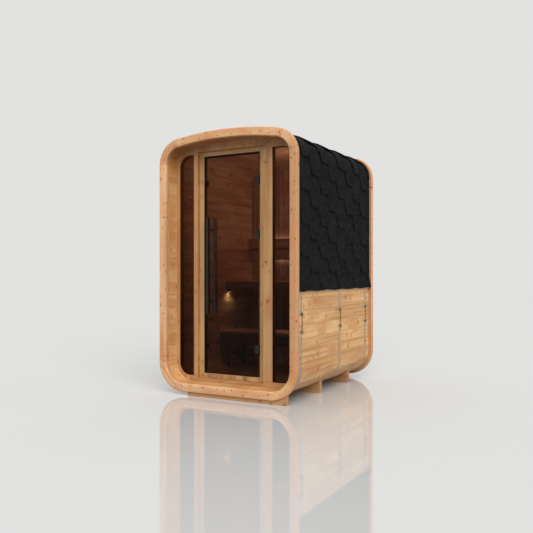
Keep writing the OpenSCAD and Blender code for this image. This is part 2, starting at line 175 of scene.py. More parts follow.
class Tree:
    """The nodes of one material, or of the world."""

    def __init__(self, name, owners=bpy.data.materials, output="OutputMaterial"):
        self.owner = owners.new(name)
        self.owner.use_nodes = True
        self.nodes = self.owner.node_tree.nodes
        self.links = self.owner.node_tree.links
        self.nodes.clear()
        self.output = self.nodes.new("ShaderNode" + output)

    def plug(self, socket, value):
        if isinstance(value, bpy.types.NodeSocket):
            self.links.new(value, socket)
        else:
            socket.default_value = value

    def put(self, kind, inputs=None, **settings):
        node = self.nodes.new("ShaderNode" + kind)
        for key, value in settings.items():
            setattr(node, key, value)
        for key, value in (inputs or {}).items():
            self.plug(node.inputs[key], value)
        return node

    def maths(self, operation, *values):
        return self.put("Math", dict(enumerate(values)), operation=operation).outputs[0]

    def product(self, a, b):
        return self.maths("MULTIPLY", a, b)

    def mix(self, share, a, b):
        return self.put("Mix", {0: share, 6: a, 7: b}, data_type="RGBA").outputs[2]

    def stain(self, colour, other, share, strength):
        """Mixes another colour in, as far as a share times a strength."""
        return self.mix(self.product(share, strength), colour, other)

    def fade(self, value, low, high):
        """0 at low and 1 at high, smooth between."""
        inputs = {"Value": value, "From Min": low, "From Max": high}
        return self.put("MapRange", inputs, interpolation_type="SMOOTHSTEP").outputs[0]

    def place(self):
        return self.put("TexCoord").outputs["Object"]

    def stretched(self, along, across, lengthwise, crosswise):
        """A place on a board, in units of its own along and across the grain."""
        inputs = {0: self.product(along, lengthwise), 1: self.product(across, crosswise)}
        return self.put("CombineXYZ", inputs).outputs[0]

    def noise(self, vector, scale, detail, dimensions="3D"):
        inputs = {"Vector": vector, "Scale": scale, "Detail": detail}
        return self.put("TexNoise", inputs, noise_dimensions=dimensions).outputs[0]

    def figure(self, along, across, lengthwise, crosswise):
        """Noise on the face of a board, drawn out along the grain."""
        return self.noise(self.stretched(along, across, lengthwise, crosswise), 1.0, 2.0, "2D")

    def cells(self, vector, randomness):
        """How far it is to the middle of the nearest cell, and three random numbers of that cell."""
        inputs = {"Vector": vector, "Scale": 1.0, "Randomness": randomness}
        node = self.put("TexVoronoi", inputs, voronoi_dimensions="2D")
        return node.outputs["Distance"], self.put("SeparateColor", {0: node.outputs["Color"]}).outputs

    def bump(self, height, distance, strength):
        inputs = {"Height": height, "Distance": distance, "Strength": strength}
        return self.put("Bump", inputs).outputs[0]

    def island(self):
        """A random number for each loose part of a mesh."""
        return self.put("NewGeometry").outputs["Random Per Island"]

    def grain(self, axis):
        """Places along and across the grain and a tone, which also holds painted shade: the mesh's own
        numbers, or the object's axes.
        """
        if axis is None:
            numbers = self.put("Attribute", attribute_name="grain").outputs["Vector"]
            return self.put("SeparateXYZ", {0: numbers}).outputs
        parts = self.put("SeparateXYZ", {0: self.place()}).outputs
        others = [parts[k] for k in range(3) if k != axis]
        return parts[axis], self.maths("ADD", *others), 0.0

    def principled(self, **inputs):
        node = self.put("BsdfPrincipled", {key.replace("_", " "): value for key, value in inputs.items()})
        self.show(node)
        return node

    def blend(self, share, first, second):
        """The first shader where the share is 0, and the second where it is 1."""
        return self.put("MixShader", {0: share, 1: first.outputs[0], 2: second.outputs[0]})

    def show(self, shader):
        self.links.new(shader.outputs[0], self.output.inputs[0])


def round_knots(tree, along, across, share):
    """Knots in a share of large cells, the disturbed grain round them, and a random number for each."""
    distance, draw = tree.cells(tree.stretched(along, across, 9.0, 9.5), 0.95)
    chosen = tree.maths("GREATER_THAN", draw[0], 1 - share)
    radius = tree.maths("MULTIPLY_ADD", tree.maths("POWER", draw[1], 2.0), 0.095, 0.066)
    knot = tree.product(chosen, tree.fade(distance, radius, tree.product(radius, 0.25)))
    halo = tree.product(chosen, tree.fade(distance, tree.product(radius, 4.0), 0.0))
    return knot, halo, draw[2]


def pin_knots(tree, along, across, share):
    """Pin knots in a share of small cells."""
    distance, draw = tree.cells(tree.stretched(along, across, 27.0, 31.0), 1.0)
    chosen = tree.maths("GREATER_THAN", draw[0], 1 - share)
    return tree.product(chosen, tree.fade(distance, 0.20, 0.08))


def grain_bands(tree, along, across, halo):
    """Wide, broad and fine bands of the grain, which sway and bend round the knots."""
    sway = tree.figure(along, across, 1.6, 6.0)
    lines = tree.maths("MULTIPLY_ADD", sway, 0.020, across)
    lines = tree.maths("MULTIPLY_ADD", halo, 0.012, lines)
    return [tree.figure(along, lines, *rates) for rates in ((0.5, 9.0), (1.0, 34.0), (4.0, 190.0))]


def grain_share(tree, wide, broad, island, tone, boards):
    """How far the wood is from its light colour to its dark one."""
    share = tree.maths("MULTIPLY_ADD", tree.fade(broad, 0.34, 0.70), 0.46, -0.32)
    share = tree.maths("MULTIPLY_ADD", tree.fade(wide, 0.36, 0.64), 0.76, share)
    # The tone, which holds dark joints and painted shade, calms the grain and darkens the wood
    calm = tree.maths("MULTIPLY_ADD", tree.fade(tone, 0.0, 0.3), -0.6, 1.0)
    share = tree.maths("MULTIPLY_ADD", share, calm, tone)
    return tree.maths("MULTIPLY_ADD", island, boards, share)


def wood(name, light, dark, knots, axis=None, seed=0.0, boards=0.15, pins=0.0):
    """Knotty softwood, planed, its grain along one axis or along the mesh's own grain numbers.

    knots and pins are the shares of large and small cells with a knot, boards is how much boards differ.
    """
    tree = Tree(name)
    along, across, tone = tree.grain(axis)
    island = tree.island()
    along = tree.maths("MULTIPLY_ADD", island, 17.3, tree.maths("ADD", along, seed))
    across = tree.maths("MULTIPLY_ADD", island, 5.1, across)
    knot, halo, draw = round_knots(tree, along, across, knots)
    wide, broad, fine = grain_bands(tree, along, across, halo)
    patch = tree.figure(along, across, 2.6, 6.0)

    ruddy = tuple(c * k for c, k in zip(dark, (1.08, 0.84, 0.66))) + (1.0,)
    deep = tuple(c * 0.74 for c in dark[:3]) + (1.0,)
    heart = tree.mix(draw, KNOT_LIGHT, KNOT_DARK)
    colour = tree.mix(grain_share(tree, wide, broad, island, tone, boards), light, dark)
    colour = tree.stain(colour, ruddy, tree.fade(patch, 0.48, 0.70), 0.50)
    colour = tree.stain(colour, deep, tree.fade(fine, 0.50, 0.80), 0.35)
    colour = tree.stain(colour, ruddy, halo, 0.45)
    colour = tree.stain(colour, heart, knot, 0.85)
    if pins:
        colour = tree.stain(colour, heart, pin_knots(tree, along, across, pins), 0.55)
    # Tones above 1 mix in dark brown: dark joints, and painted shade in the porch and at the rear ring's
    # seam
    colour = tree.stain(colour, JOINT_AND_SHADE_BROWN, tree.fade(tone, 1.0, 2.0), 0.8)

    rough = tree.maths("MULTIPLY_ADD", fine, 0.18, 0.41)
    relief = tree.maths("SUBTRACT", fine, knot)
    tree.principled(Base_Color=colour, Roughness=rough, Normal=tree.bump(relief, 0.0003, 0.5))
    return tree.owner


def shingle_material():
    """Bitumen shingle with black mineral granules, each tab a little different.

    The mesh's third grain number is LAP at the edge of the row above, and its first how dark the painted
    shadow under that edge is.
    """
    tree = Tree("shingle_granules")
    place = tree.place()
    grit = tree.noise(place, 420.0, 2.0)
    coarse = tree.noise(place, 60.0, 3.0)
    streaky = tree.put("Mapping", {"Vector": place, "Scale": (1.0, 0.55, 1.0)}).outputs[0]
    lump = tree.noise(streaky, 26.0, 2.0)
    cloud = tree.noise(streaky, 9.0, 3.0)
    colour = tree.mix(tree.fade(cloud, 0.38, 0.62), linear(13, 13, 13), linear(24, 24, 24))
    colour = tree.stain(colour, linear(9, 9, 10), tree.island(), 0.55)
    colour = tree.stain(colour, linear(34, 34, 34), tree.fade(lump, 0.40, 0.66), 0.6)
    colour = tree.stain(colour, linear(35, 35, 35), tree.fade(coarse, 0.50, 0.68), 0.7)
    colour = tree.stain(colour, linear(46, 46, 47), tree.fade(grit, 0.60, 0.72), 0.6)
    painted_shadow, _, lap = tree.grain(None)
    # Painted shadow: a near-black band just under the edge of the row above, darkest under its flat edges
    shade = tree.product(tree.fade(lap, LAP - 0.016, LAP - 0.002), tree.product(painted_shadow, 0.85))
    colour = tree.mix(shade, colour, linear(3, 3, 3))
    relief = tree.maths("MULTIPLY_ADD", lump, 1.6, tree.maths("ADD", grit, coarse))
    felt = tree.principled(Base_Color=colour, Roughness=tree.maths("MULTIPLY_ADD", grit, 0.2, 0.75),
                           Normal=tree.bump(relief, 0.0014, 0.9))
    felt.inputs["Specular IOR Level"].default_value = 0.10
    return tree.owner


def steel(name, bright, dull, roughness):
    """Steel, faintly clouded and scratched along its length."""
    tree = Tree(name)
    place = tree.place()
    cloud = tree.noise(place, 22.0, 2.0)
    drawn = tree.put("Mapping", {"Vector": place, "Scale": (900.0, 900.0, 30.0)}).outputs[0]
    scratch = tree.noise(drawn, 1.0, 2.0)
    colour = tree.mix(tree.fade(cloud, 0.2, 0.8), bright, dull)
    rough = tree.maths("MULTIPLY_ADD", cloud, 0.16, roughness - 0.08)
    relief = tree.bump(scratch, 0.0001, 0.2)
    tree.principled(Base_Color=colour, Metallic=0.85, Roughness=rough, Normal=relief)
    return tree.owner


def coated(name, colour, worn, roughness):
    """Powder-coated metal, or rubber, with a fine orange-peel surface."""
    tree = Tree(name)
    place = tree.place()
    peel = tree.noise(place, 700.0, 1.0)
    cloud = tree.noise(place, 25.0, 2.0)
    shade = tree.mix(tree.fade(cloud, 0.35, 0.65), colour, worn)
    rough = tree.maths("MULTIPLY_ADD", cloud, 0.12, roughness - 0.06)
    coat = tree.principled(Base_Color=shade, Roughness=rough, Normal=tree.bump(peel, 0.0002, 0.35))
    coat.inputs["Specular IOR Level"].default_value = 0.3
    return tree.owner


def tinted_glass(name, tint, lamp_tint):
    """Bronze safety glass; light from the lamps and from all round reaches what is behind it."""
    tree = Tree(name)
    cloud = tree.noise(tree.place(), 1.3, 1.0)
    darker = tuple(c * 0.7 for c in tint[:3]) + (1.0,)
    shade = tree.mix(tree.product(cloud, 0.12), tint, darker)
    pane = tree.principled(Base_Color=shade, Roughness=0.0, IOR=1.14)
    pane.inputs["Transmission Weight"].default_value = 1.0
    clear = tree.put("BsdfTransparent", {"Color": lamp_tint})
    path = tree.put("LightPath").outputs
    lit = tree.blend(path["Is Diffuse Ray"], pane, clear)
    tree.show(tree.blend(path["Is Shadow Ray"], lit, clear))
    return tree.owner


def glowing(name, colour, strength):
    """A lit frosted lens."""
    tree = Tree(name)
    cloud = tree.noise(tree.place(), 300.0, 1.0)
    shade = tree.mix(cloud, colour, linear(255, 236, 200))
    node = tree.principled(Base_Color=shade, Roughness=0.4)
    tree.plug(node.inputs["Emission Color"], shade)
    node.inputs["Emission Strength"].default_value = strength
    return tree.owner


KNOT_LIGHT, KNOT_DARK = linear(150, 92, 50), linear(84, 49, 28)
# Dark brown of the joints, also used for painted shade where a tone passes 1
JOINT_AND_SHADE_BROWN = linear(96, 58, 34)
LAP = 10.0
RING_LIGHT, RING_DARK = linear(236, 185, 137), linear(202, 149, 103)
STAVE_LIGHT, STAVE_DARK = linear(244, 196, 135), linear(198, 142, 86)
FRONT_LIGHT, FRONT_DARK = linear(196, 150, 102), linear(166, 120, 76)
FRAME_LIGHT, FRAME_DARK = linear(194, 153, 103), linear(162, 123, 78)
BACK_LIGHT, BACK_DARK = linear(224, 178, 134), linear(168, 122, 82)
SILL_LIGHT, SILL_DARK = linear(186, 138, 92), linear(148, 102, 62)
BENCH_LIGHT, BENCH_DARK = linear(200, 156, 118), linear(160, 114, 82)
# The lower bench is painted paler than the upper one: painted light on a bench that lies in shade
LOW_BENCH_LIGHT, LOW_BENCH_DARK = linear(236, 190, 146), linear(204, 152, 108)
LEG_LIGHT, LEG_DARK = linear(148, 126, 90), linear(116, 94, 64)

RING_WOOD = wood("ring_pine", RING_LIGHT, RING_DARK, knots=0.5, boards=0.05, pins=0.2)
STAVE_WOOD = wood("stave_pine", STAVE_LIGHT, STAVE_DARK, knots=0.42, seed=3.1)
BACK_WOOD = wood("back_wall_pine", BACK_LIGHT, BACK_DARK, knots=0.4, seed=8.7, boards=0.9)
FRONT_UPRIGHT = wood("front_pine_upright", FRONT_LIGHT, FRONT_DARK, axis=2, knots=0.5, seed=5.9)
FRAME_LEVEL = wood("frame_pine_level", FRAME_LIGHT, FRAME_DARK, axis=0, knots=0.4, seed=2.6)
FRAME_UPRIGHT = wood("frame_pine_upright", FRAME_LIGHT, FRAME_DARK, axis=2, knots=0.45, seed=4.4)
BEAM_WOOD = wood("beam_pine", FRONT_LIGHT, FRONT_DARK, axis=0, knots=0.4, seed=6.3)
BENCH_LEVEL = wood("bench_pine_level", BENCH_LIGHT, BENCH_DARK, axis=0, knots=0.3, seed=7.5)
# Paler than the upper bench's wood: painted light
LOW_BENCH_WOOD = wood("lower_bench_pine", LOW_BENCH_LIGHT, LOW_BENCH_DARK, axis=0, knots=0.3, seed=7.5)
LEG_WOOD = wood("bench_leg_pine", LEG_LIGHT, LEG_DARK, axis=2, knots=0.3, seed=9.8)
SILL_WOOD = wood("sill_pine", SILL_LIGHT, SILL_DARK, axis=0, knots=0.4, seed=1.2)
THRESHOLD_WOOD = wood("threshold_pine", FRONT_LIGHT, linear(128, 84, 50), axis=2, knots=0.2, seed=4.4)
SHINGLE = shingle_material()
BAND_STEEL = steel("zinc_steel", linear(186, 178, 168), linear(172, 164, 152), 0.46)
ROD_STEEL = steel("oiled_steel", linear(176, 162, 124), linear(128, 116, 88), 0.45)
BLACK_METAL = coated("black_coating", linear(22, 19, 16), linear(32, 28, 23), 0.30)
GREY_METAL = steel("brushed_steel", linear(194, 194, 181), linear(182, 182, 168), 0.32)
# The seal's dark brown, partly painted shade in the rebate behind the glass
SEAL_RUBBER_AND_SHADE = coated("door_seal_rubber_and_shade", linear(92, 64, 45), linear(76, 52, 37), 0.6)
SCREW_METAL = coated("screw_head", linear(84, 58, 38), linear(60, 42, 30), 0.5)
DRIP_METAL = coated("drip_edge_metal", linear(196, 180, 158), linear(150, 130, 104), 0.5)
GLASS = tinted_glass("bronze_glass", linear(146, 141, 150), linear(76, 70, 73))
LENS = glowing("lamp_glow", linear(255, 196, 116), 1.6)


# ---------------- meshes
def new_object(name, data):
    obj = bpy.data.objects.new(name, data)
    bpy.context.scene.collection.objects.link(obj)
    return obj


class Shape:
    """Points, faces and grain numbers of one piece, which may be many loose parts."""

    def __init__(self):
        self.points, self.faces, self.grain = [], [], []

    def add(self, points, grain=None):
        start = len(self.points)
        self.points += [tuple(p) for p in points]
        self.grain += grain or [(0.0, 0.0, 0.0)] * len(points)
        return start

    def loft(self, rings, grain=None):
        """A skin over closed rings of points, each the same length, with both ends closed."""
        count = len(rings[0])
        starts = [self.add(ring, grain[k] if grain else None) for k, ring in enumerate(rings)]
        for a, b in zip(starts, starts[1:]):
            for k in range(count):
                m = (k + 1) % count
                self.faces.append((a + k, a + m, b + m, b + k))
        self.faces.append(tuple(range(starts[0], starts[0] + count))[::-1])
        self.faces.append(tuple(range(starts[-1], starts[-1] + count)))

    def block(self, low, high):
        """A plain block, whose edges a bevel rounds later."""
        ring = [(low[0], low[1]), (high[0], low[1]), (high[0], high[1]), (low[0], high[1])]
        self.loft([[(x, y, z) for x, y in ring] for z in (low[2], high[2])])

    def turned(self, base, axis, profile, steps):
        """A turned part: profile is (distance along the axis, radius) from one end to the other."""
        axis = Vector(axis).normalized()
        side = axis.orthogonal().normalized()
        other = axis.cross(side)
        rings = []
        for along, radius in profile:
            centre = Vector(base) + axis * along
            turns = [2 * math.pi * k / steps for k in range(steps)]
            rings.append([centre + (side * math.cos(a) + other * math.sin(a)) * radius for a in turns])
        self.loft(rings)

    def piece(self, name, material, slot, body="cabin", stands_for=(), bevel=0.0, angle=35):
        """Makes the object, lets it ride on its body and hides the nodes that it stands for."""
        mesh = bpy.data.meshes.new(name)
        mesh.from_pydata(self.points, [], self.faces)
        work = bmesh.new()
        work.from_mesh(mesh)
        bmesh.ops.recalc_face_normals(work, faces=work.faces)
        work.to_mesh(mesh)
        work.free()
        numbers = mesh.attributes.new("grain", "FLOAT_VECTOR", "POINT")
        numbers.data.foreach_set("vector", [c for g in self.grain for c in g])
        mesh.shade_smooth()
        mesh.set_sharp_from_angle(angle=math.radians(angle))
        mesh.materials.append(material)
        obj = new_object(name, mesh)
        if bevel:
            soften(obj, bevel)
        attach(obj, body)
        if stands_for:
            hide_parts(*stands_for)
        return obj


def soften(obj, width, angle=50):
    """Rounds the long edges as a router or a file would."""
    bevel = obj.modifiers.new("rounded_edges", "BEVEL")
    bevel.width = width
    bevel.segments = 2
    bevel.limit_method = "ANGLE"
    bevel.angle_limit = math.radians(angle)
    even = obj.modifiers.new("even_shading", "WEIGHTED_NORMAL")
    even.weight = 100


def dress(node, material, bevel, angle):
    """Gives a CAD node its finish and rounds its edges; the node's own mesh stays as packed."""
    obj = NODES[node]
    for place in obj.material_slots:
        place.material = material
    if bevel:
        weld = obj.modifiers.new("joined_points", "WELD")
        weld.merge_threshold = 0.00002
        merge = obj.modifiers.new("whole_faces", "DECIMATE")
        merge.decimate_type = "DISSOLVE"
        merge.angle_limit = math.radians(0.5)
        soften(obj, bevel, angle)


def spread(start, end, longest):
    """Evenly spaced numbers from start to end, no further apart than longest."""
    count = max(1, math.ceil((end - start) / longest - 1e-6))
    return [start + (end - start) * k / count for k in range(count + 1)]


# ---------------- shell of staves
STAVE = 0.110
FIRST_JOINT_Z = 0.412
GROOVE = 0.0022
PORCH_END_Y = PANE_Y - 0.004
REAR_SEAM = 0.012
FLOOR_BOARD, CORNER_BOARD, ROOF_BOARD, BACK_BOARD = 0.108, 0.09, 0.111, 0.1105
BACK_JOINT_TONE = 1.5
REAR_SEAM_Y = SHELL_BACK - 0.008


def stave(shape, start, end):
    """One board of the shell, bevelled along its joints on both faces, with a rebate at the rear."""
    inside = [start + GROOVE] + spread(start + GROOVE, end - GROOVE, 0.028)[1:-1] + [end - GROOVE]
    outer = [(start, OUTER + GROOVE)] + [(t, OUTER) for t in inside] + [(end, OUTER + GROOVE)]
    inner = [(end, INNER - GROOVE)] + [(t, INNER) for t in reversed(inside)] + [(start, INNER - GROOVE)]
    profile = outer + inner
    run = [0.0]
    for (a, i), (b, j) in zip(profile, profile[1:]):
        run.append(run[-1] + math.hypot(b - a, j - i))
    stations = [(SHELL_FRONT, 0.0), (PORCH_END_Y, 0.0), (PANE_Y, 0.0), (REAR_SEAM_Y - 0.001, 0.0),
                (REAR_SEAM_Y, REAR_SEAM), (SHELL_BACK, REAR_SEAM)]
    rings, grain = [], []
    for y, seam in stations:
        rings.append([at(t, inset + (seam if inset < MID_WALL else 0.0), y) for t, inset in profile])
        tones = [stave_tone(t, inset, y < PANE_Y, start, end) for t, inset in profile]
        grain.append([(y, v, tone) for v, tone in zip(run, tones)])
    shape.loft(rings, grain)


def stave_tone(t, inset, open_air, start, end):
    """How dark a board is: more at its joints, painted shade in the porch, most overhead, and a painted
    shadow below the tabs.
    """
    joint = 0.6 if min(t - start, end - t) < GROOVE / 2 else 0.0
    t = min(t, 2 * HALF - t)
    below = wall_at(SHINGLE_LOW) - t
    painted_shade = 0.0
    # Painted shade on the faces in the porch, deepest overhead, and painted shadow on the boards just under
    # the shingles
    if inset > MID_WALL and open_air:
        painted_shade = 0.32 + 0.98 * smooth((t - WALL_END + 0.25) / 0.40)
    elif inset < MID_WALL and below > -0.02:
        painted_shade = 0.6 * smooth(1 - below / 0.09)
    return max(joint, painted_shade)


def smooth(share):
    """0 up to 0 and 1 from 1 on, smooth between."""
    share = min(max(share, 0.0), 1.0)
    return share * share * (3 - 2 * share)


def staves(joints, mirrored):
    """Boards between successive joints, on the right and also on the left where mirrored."""
    shape = Shape()
    for a, b in zip(joints, joints[1:]):
        stave(shape, a, b)
        if mirrored:
            stave(shape, 2 * HALF - b, 2 * HALF - a)
    return shape


def build_shell():
    wall = [wall_at(z) for z in [BOTTOM_Z] + [FIRST_JOINT_Z + STAVE * k for k in range(14)] + [TOP_Z]]
    left = [2 * HALF - t for t in reversed(wall)]
    runs = [
        ("right_wall_boards", wall, "right_wall", False),
        ("left_wall_boards", left, "left_wall", False),
        ("floor_boards", spread(-FLOOR_END, FLOOR_END, FLOOR_BOARD), "floor", False),
        ("lower_corner_boards", spread(FLOOR_END, CORNER_END, CORNER_BOARD), "lower_corner_staves", True),
        ("upper_corner_boards", spread(WALL_END, BEND_END, CORNER_BOARD), "upper_corner_staves", True),
        ("roof_boards", spread(BEND_END, 2 * HALF - BEND_END, ROOF_BOARD), "roof", False),
    ]
    for name, joints, node, mirrored in runs:
        shape = staves(joints, mirrored)
        shape.piece(name, STAVE_WOOD, "stave_wood", stands_for=[node], angle=20)


def build_back_wall():
    """Upright boards, bevelled at the joints on both faces, cut to the section."""
    low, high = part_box("back_wall")
    shape = Shape()
    joints = spread(low.x, high.x, BACK_BOARD)
    for a, b in zip(joints, joints[1:]):
        places = [a] + spread(a + GROOVE, b - GROOVE, 0.007) + [b]
        front = [(x, low.y + (GROOVE if x in (a, b) else 0)) for x in places]
        back = [(x, high.y - (GROOVE if x in (a, b) else 0)) for x in reversed(places)]
        profile = front + back
        run = [0.0]
        for p, q in zip(profile, profile[1:]):
            run.append(run[-1] + math.dist(p, q))
        rings = [[(x, y, heights(x, INNER)[k]) for x, y in profile] for k in (0, 1)]
        tones = [BACK_JOINT_TONE if x in (a, b) else 0.0 for x, y in profile]
        grain = [[(ring[n][2], run[n], tones[n]) for n in range(len(profile))] for ring in rings]
        shape.loft(rings, grain)
    shape.piece("back_wall_boards", BACK_WOOD, "front_wood", stands_for=["back_wall"], angle=20)


# ---------------- rings
SAW_CUT = 0.0008
# How much darker the front ring's right side is, and the painted shade on the rear ring, deeper where it
# meets the shell
RIGHT_TONE, REAR_PAINTED_SHADE, SEAM_PAINTED_SHADE = 0.85, 0.35, 1.45
# The lowest and highest screw up a wall and their longest spacing, and how long the arch is for its width
SCREW_HEIGHTS = (0.28, 1.95, 0.42)
ARCH_RUN = 1.003


def ring_profile(shrink):
    """Rounded cross-section of a ring as (inset, depth)."""
    far_inset, far_depth = BAND - EDGE, RING_DEPTH - EDGE
    radius = EDGE - shrink
    corners = [(far_inset, far_depth, 0), (EDGE, far_depth, 90), (EDGE, EDGE, 180), (far_inset, EDGE, 270)]
    points = []
    for cx, cy, start in corners:
        for k in range(7):
            angle = math.radians(start + 15 * k)
            points.append((cx + radius * math.cos(angle), cy + radius * math.sin(angle)))
    return points


def ring_part(shape, start, end, front):
    """One sawn and rounded length of a ring, its grain straight; the front ring's right side is darker, and
    the rear ring has painted shade, deepest where it meets the shell.
    """
    middle_x, middle_z, out_x, out_z = spot((start + end) / 2)
    stops = [start] + spread(start + SAW_CUT, end - SAW_CUT, 0.014) + [end]
    rings, grain = [], []
    for t in stops:
        profile = ring_profile(0.0009 if t in (start, end) else 0.0)
        tone = RIGHT_TONE * smooth((spot(t)[2] - 0.7) / 0.28) if front else REAR_PAINTED_SHADE
        ring = [at(t, inset, FRONT_Y + depth if front else BACK_Y - depth) for inset, depth in profile]
        numbers = []
        for point, (inset, depth) in zip(ring, profile):
            dx, dz = point.x - middle_x, point.z - middle_z
            # Painted shade on the rear ring's face where it meets the shell
            at_shell = not front and depth > RING_DEPTH - 0.001 and inset < 0.02
            numbers.append((dz * out_x - dx * out_z, dx * out_x + dz * out_z + depth * 0.8,
                            max(tone, SEAM_PAINTED_SHADE if at_shell else 0.0)))
        rings.append(ring)
        grain.append(numbers)
    shape.loft(rings, grain)


def build_rings():
    lengths = {
        "top": [(BEND_END, 2 * HALF - BEND_END)],
        "bottom": [(-FLOOR_END, FLOOR_END)],
        "sides": [(CORNER_END, WALL_END), (2 * HALF - WALL_END, 2 * HALF - CORNER_END)],
        "corners": [(FLOOR_END, CORNER_END), (WALL_END, BEND_END),
                    (2 * HALF - BEND_END, 2 * HALF - WALL_END),
                    (2 * HALF - CORNER_END, 2 * HALF - FLOOR_END)],
    }
    for end in ("front", "rear"):
        for part, runs in lengths.items():
            shape = Shape()
            for start, stop in runs:
                ring_part(shape, start, stop, end == "front")
            name = f"{end}_ring_{part}"
            shape.piece(name + "_wood", RING_WOOD, "ring_wood", stands_for=[name], angle=25)


def screw_places():
    """Distances round the section of the screws in a ring: by the walls, the floor and the roof."""
    places = [wall_at(z) for z in spread(*SCREW_HEIGHTS)] + [wall_at(TOP_Z) + 0.05]
    places += [FLOOR_END * share for share in (0.165, 0.505)] + [FLOOR_END + 0.004]
    places += [HALF - x * ARCH_RUN for x in (0.068, 0.25, 0.427)] + [BEND_END - 0.05]
    return places + [2 * HALF - t for t in places] + [0.0]


def build_ring_screws():
    """Countersunk screws through the rings into the ends of the staves."""
    head = [(-0.0014, 0.0012), (-0.0006, 0.0022), (-0.0004, 0.0044), (0.0003, 0.0050), (0.004, 0.0046)]
    shape = Shape()
    for t in screw_places():
        shape.turned(at(t, MID_WALL, FRONT_Y - 0.0001), (0, 1, 0), head, 14)
        shape.turned(at(t, MID_WALL, BACK_Y + 0.0001), (0, -1, 0), head, 14)
    shape.piece("ring_screws", SCREW_METAL, "black_metal", angle=30)


# ---------------- shingles
EXPOSURE = 0.134
PITCH = 0.373
HALF_TAB = PITCH / 2 - 0.0012
SHEET = 0.0026
REACH = 3 * EXPOSURE
LIFT = 0.0100
FLAT, NOTCH = 0.065, 0.118
COVER_FRONT, COVER_BACK = SHELL_FRONT + 0.002, SHELL_BACK - 0.002
FIRST_ROW, CROWN_GAP = 0.006, 0.069
ROW_STEPS = 13


def stand_off(t, y):
    """How far the covering is off the staves: more over the corner, at the lower edge and at the rear."""
    rise = t - wall_at(SHINGLE_LOW)
    corner = 0.006 * smooth((t - WALL_END + 0.02) / 0.16)
    edge = 0.008 * smooth(1 - rise / 0.11)
    rear = 0.011 * smooth((y - 0.66) / 0.14) * smooth(1 - rise / 0.12)
    return corner + edge + rear


def slant(y, middle):
    """0 under the flat edge of a tab and 1 in the notch beside it; middle is that of any tab in the row."""
    across = (y - middle + PITCH / 2) % PITCH - PITCH / 2
    return min(max((abs(across) - FLAT) / (NOTCH - FLAT), 0), 1)


def tab_edge(y, low, middle):
    """Lower edge of a row of tabs at a depth."""
    return low + EXPOSURE * slant(y, middle)


def shingle_grid(shape, columns, mirrored, height, thickness, top, over):
    """A bent sheet: columns of (depth, lowest distance), and a height over the staves for each place.

    over is the lowest distance and a tab's middle of the row that laps over this one.
    """
    outer, inner, grain = [], [], []
    for y, low in columns:
        for t in [low + (top - low) * k / ROW_STEPS for k in range(ROW_STEPS + 1)]:
            h = height(t, y)
            place = 2 * HALF - t if mirrored else t
            outer.append(at(place, OUTER - h, y))
            inner.append(at(place, OUTER - max(h - thickness, 0.0002), y))
            # Painted shadow under the row above: strongest under its flat edges, weaker in the notches
            painted_shadow = 1 - 0.6 * min(3 * slant(y, over[1]), 1)
            grain.append((painted_shadow, t, LAP + t - tab_edge(y, *over)))
    sheet_faces(shape, shape.add(outer, grain), shape.add(inner, grain), len(columns) - 1)


def sheet_faces(shape, a, b, last):
    """Faces of a sheet whose outer points start at a and inner points at b, and its edges."""
    step = ROW_STEPS + 1
    for i in range(last):
        for k in range(ROW_STEPS):
            p, q = i * step + k, (i + 1) * step + k
            shape.faces.append((a + p, a + q, a + q + 1, a + p + 1))
            shape.faces.append((b + p, b + p + 1, b + q + 1, b + q))
        for k in (0, ROW_STEPS):
            p, q = i * step + k, (i + 1) * step + k
            shape.faces.append((a + p, b + p, b + q, a + q))
    for i in (0, last):
        for k in range(ROW_STEPS):
            p = i * step + k
            shape.faces.append((a + p, a + p + 1, b + p + 1, b + p))


def tab_depths(middle):
    """Depths of a tab's columns, cut off at the ends of the shell."""
    half_steps = [0.022, FLAT, 0.0915, NOTCH, 0.150, HALF_TAB]
    steps = [-s for s in reversed(half_steps)] + half_steps
    inside = [s for s in steps if COVER_FRONT < middle + s < COVER_BACK]
    if inside and middle + steps[0] < COVER_FRONT < middle + inside[0]:
        inside.insert(0, COVER_FRONT - middle)
    if inside and middle + inside[-1] < COVER_BACK < middle + steps[-1]:
        inside.append(COVER_BACK - middle)
    return [middle + s for s in inside]


def tab_height(low, middle, tilt):
    """How high a tab lies over the staves at each place: loose at its lower edge, more where it bends."""
    def height(t, y):
        rise = t - low
        bent = smooth((t - WALL_END + 0.03) / 0.15) * smooth((BEND_END + 0.20 - t) / 0.15)
        lean = (0.0008 + 0.0032 * bent) * (1 - 2 * (y - middle + HALF_TAB) / (2 * HALF_TAB))
        curl = 0.0038 * max(0, 1 - rise / 0.040) ** 2
        loose = (LIFT + 0.006 * bent) * (1 - rise / REACH) + lean + curl + tilt
        pressed = min(max((y - SHELL_BACK + 0.09) / 0.08, 0), 0.75)
        return loose + pressed * (LIFT * 0.75 - loose) + stand_off(t, y)
    return height


def shingle_tab(shape, low, middle, mirrored, over):
    """One hexagonal tab, lifted most at its lower edge and towards the front."""
    middle += random.uniform(-0.004, 0.004)
    low += random.uniform(-0.003, 0.003)
    tilt = random.uniform(-0.0004, 0.0004)
    columns = [(y, tab_edge(y, low, middle)) for y in tab_depths(middle)]
    top = min(low + REACH, HALF)
    if len(columns) > 1 and top - max(c[1] for c in columns) > 0.01:
        shingle_grid(shape, columns, mirrored, tab_height(low, middle, tilt), SHEET, top, over)


def shingle_row(row):
    """Lowest distance round the section of a row of tabs, and the middle of one of its tabs."""
    low = wall_at(SHINGLE_LOW) + FIRST_ROW + row * EXPOSURE
    return (low + 0.005, -0.4715) if row % 2 else (low, -0.658)


